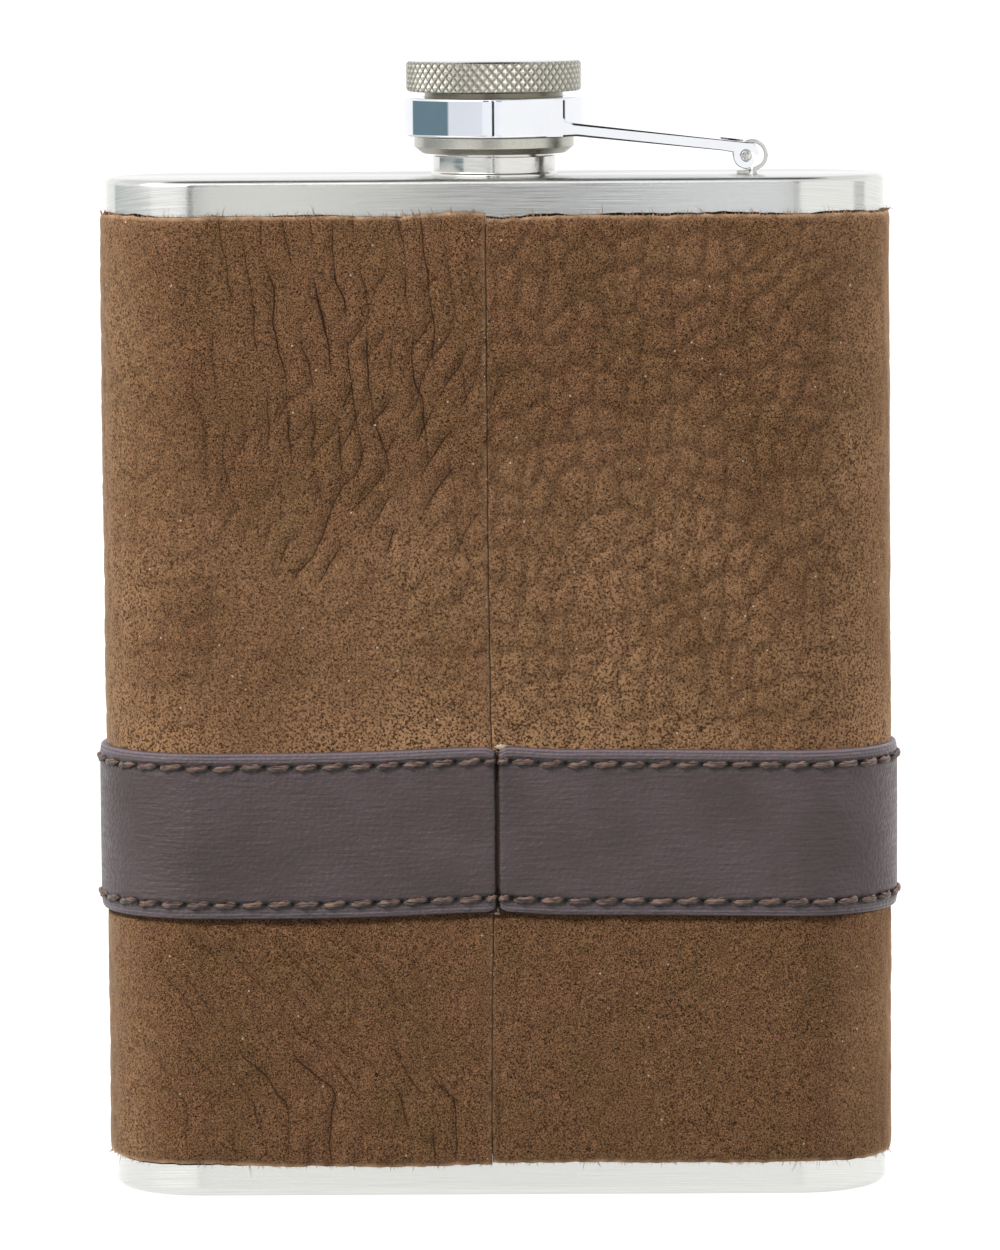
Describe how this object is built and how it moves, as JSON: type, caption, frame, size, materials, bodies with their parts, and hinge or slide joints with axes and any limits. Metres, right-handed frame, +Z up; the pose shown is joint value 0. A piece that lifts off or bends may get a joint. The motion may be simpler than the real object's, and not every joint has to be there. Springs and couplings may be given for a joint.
{
  "type": "hip flask",
  "caption": "Flat stainless hip flask in a glued leather wrap with a sewn strap round it, and a screw cap held by a hinged captive arm.",
  "frame": {"origin": "middle of the base, on the surface that the flask stands on", "axes": "+Z up along the body to the cap, +X to the cap's hinge, -Y out of the face that carries the leather's seam"},
  "size_m": [0.0988, 0.0266, 0.1397],
  "materials": {
    "brushed_stainless": "brushed along the flask's width",
    "polished_stainless": "turned and polished",
    "chrome_plate": "mirror-polished chrome on a casting",
    "turned_steel": "turned satin, with a diamond-knurled grip and a polished dome",
    "brown_nubuck": "buffed short nap over pebbled grain",
    "smooth_strap_leather": "smooth coated, low sheen, creased edges",
    "strap_backing_board": "bonded leather board",
    "brown_thread": "twisted polyester sewing thread",
    "contact_glue": "dried contact cement",
    "silicone_seal": "food-grade silicone, matt"
  },
  "bodies": {
    "flask": {"body_shell": "brushed_stainless", "base_pan": "brushed_stainless", "top_pan": "brushed_stainless", "neck_spout": "polished_stainless", "hinge_bracket": "polished_stainless", "sleeve_glue": "contact_glue", "leather_sleeve": "brown_nubuck", "strap_glue": "contact_glue", "strap_backing": "strap_backing_board", "strap_face": "smooth_strap_leather", "upper_stitch_row": "brown_thread", "lower_stitch_row": "brown_thread", "upper_bobbin_row": "brown_thread", "lower_bobbin_row": "brown_thread"},
    "arm": {"captive_arm": "chrome_plate", "hinge_pin": "polished_stainless"},
    "cap": {"cap_head": "turned_steel", "cap_collar": "turned_steel", "cap_gasket": "silicone_seal"}
  },
  "joints": [
    {"name": "arm_swing", "type": "hinge", "parent": "flask", "child": "arm", "pos_m": [0.03075, 0, 0.1268], "axis": [0, 1, 0], "range_deg": [0, 170]},
    {"name": "cap_spin", "type": "hinge", "parent": "arm", "child": "cap", "pos_m": [0, 0, 0.1345], "axis": [0, 0, 1], "continuous": true}
  ]
}
